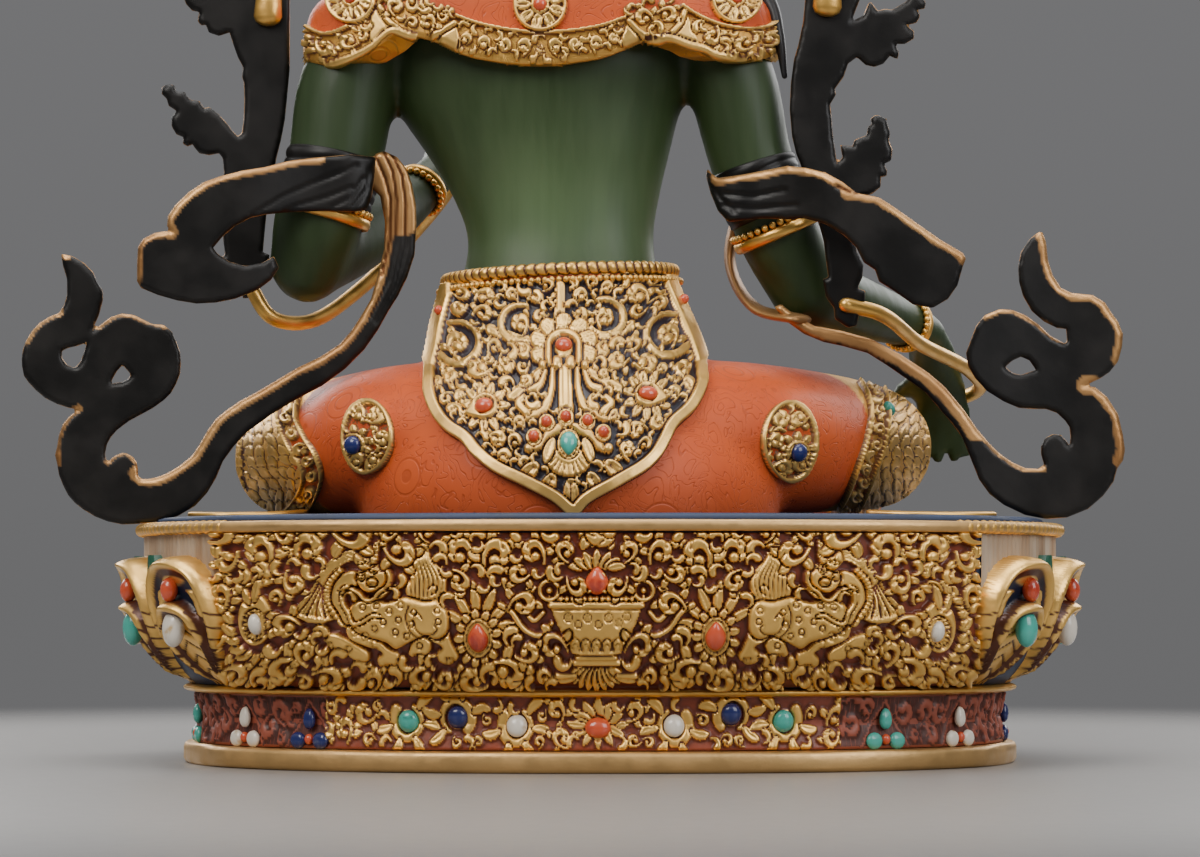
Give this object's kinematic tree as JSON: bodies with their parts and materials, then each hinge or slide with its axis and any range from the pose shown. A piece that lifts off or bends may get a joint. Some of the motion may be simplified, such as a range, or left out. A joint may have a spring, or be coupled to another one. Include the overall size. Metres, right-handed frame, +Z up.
{
  "type": "seated tara statue",
  "caption": "Seated Green Tara of gilded and painted copper on an oval lotus throne, with scarves and lotus stalks.",
  "frame": {"origin": "centre of the base plate's underside", "axes": "+Z up; the figure faces -Y, so its painted back is towards +Y; its own left side is +X"},
  "size_m": [0.3387, 0.2672, 0.3997],
  "materials": {
    "gilt_gold": "gilded copper, satin, dark brown left in the crevices",
    "pale_gold": "pale matte gilding with fine specks",
    "green_paint": "deep green mineral paint, satin, brushed vertically",
    "red_paint": "orange-red paint over fine engraved scrolls",
    "blue_paint": "dark blue matte paint in the sunk grounds",
    "black_lacquer": "black paint, satin, rubbed to gold on its edges",
    "ivory_paint": "aged white paint with brown streaks",
    "coral": "polished stone",
    "turquoise": "polished stone",
    "lapis": "polished stone",
    "shell": "polished shell"
  },
  "bodies": {
    "root": {"base_plate": "pale_gold", "lotus_throne": "gilt_gold", "figure": "green_paint", "crown": "gilt_gold", "topknot_jewel": "gilt_gold", "earring_left": "gilt_gold", "earring_right": "gilt_gold", "scarf_left": "black_lacquer", "scarf_right": "black_lacquer", "lotus_left": "black_lacquer", "lotus_right": "black_lacquer", "band_turquoise_left": "turquoise", "band_lapis_left": "lapis", "band_shell_left": "shell", "band_coral": "coral", "band_shell_right": "shell", "band_lapis_right": "lapis", "band_turquoise_right": "turquoise", "offering_coral": "coral", "panel_coral_left": "coral", "panel_coral_right": "coral", "panel_shell_left": "shell", "panel_shell_right": "shell", "apron_coral_centre": "coral", "apron_coral_left": "coral", "apron_coral_right": "coral", "apron_turquoise": "turquoise", "medallion_lapis_left": "lapis", "medallion_lapis_right": "lapis"}
  },
  "joints": []
}
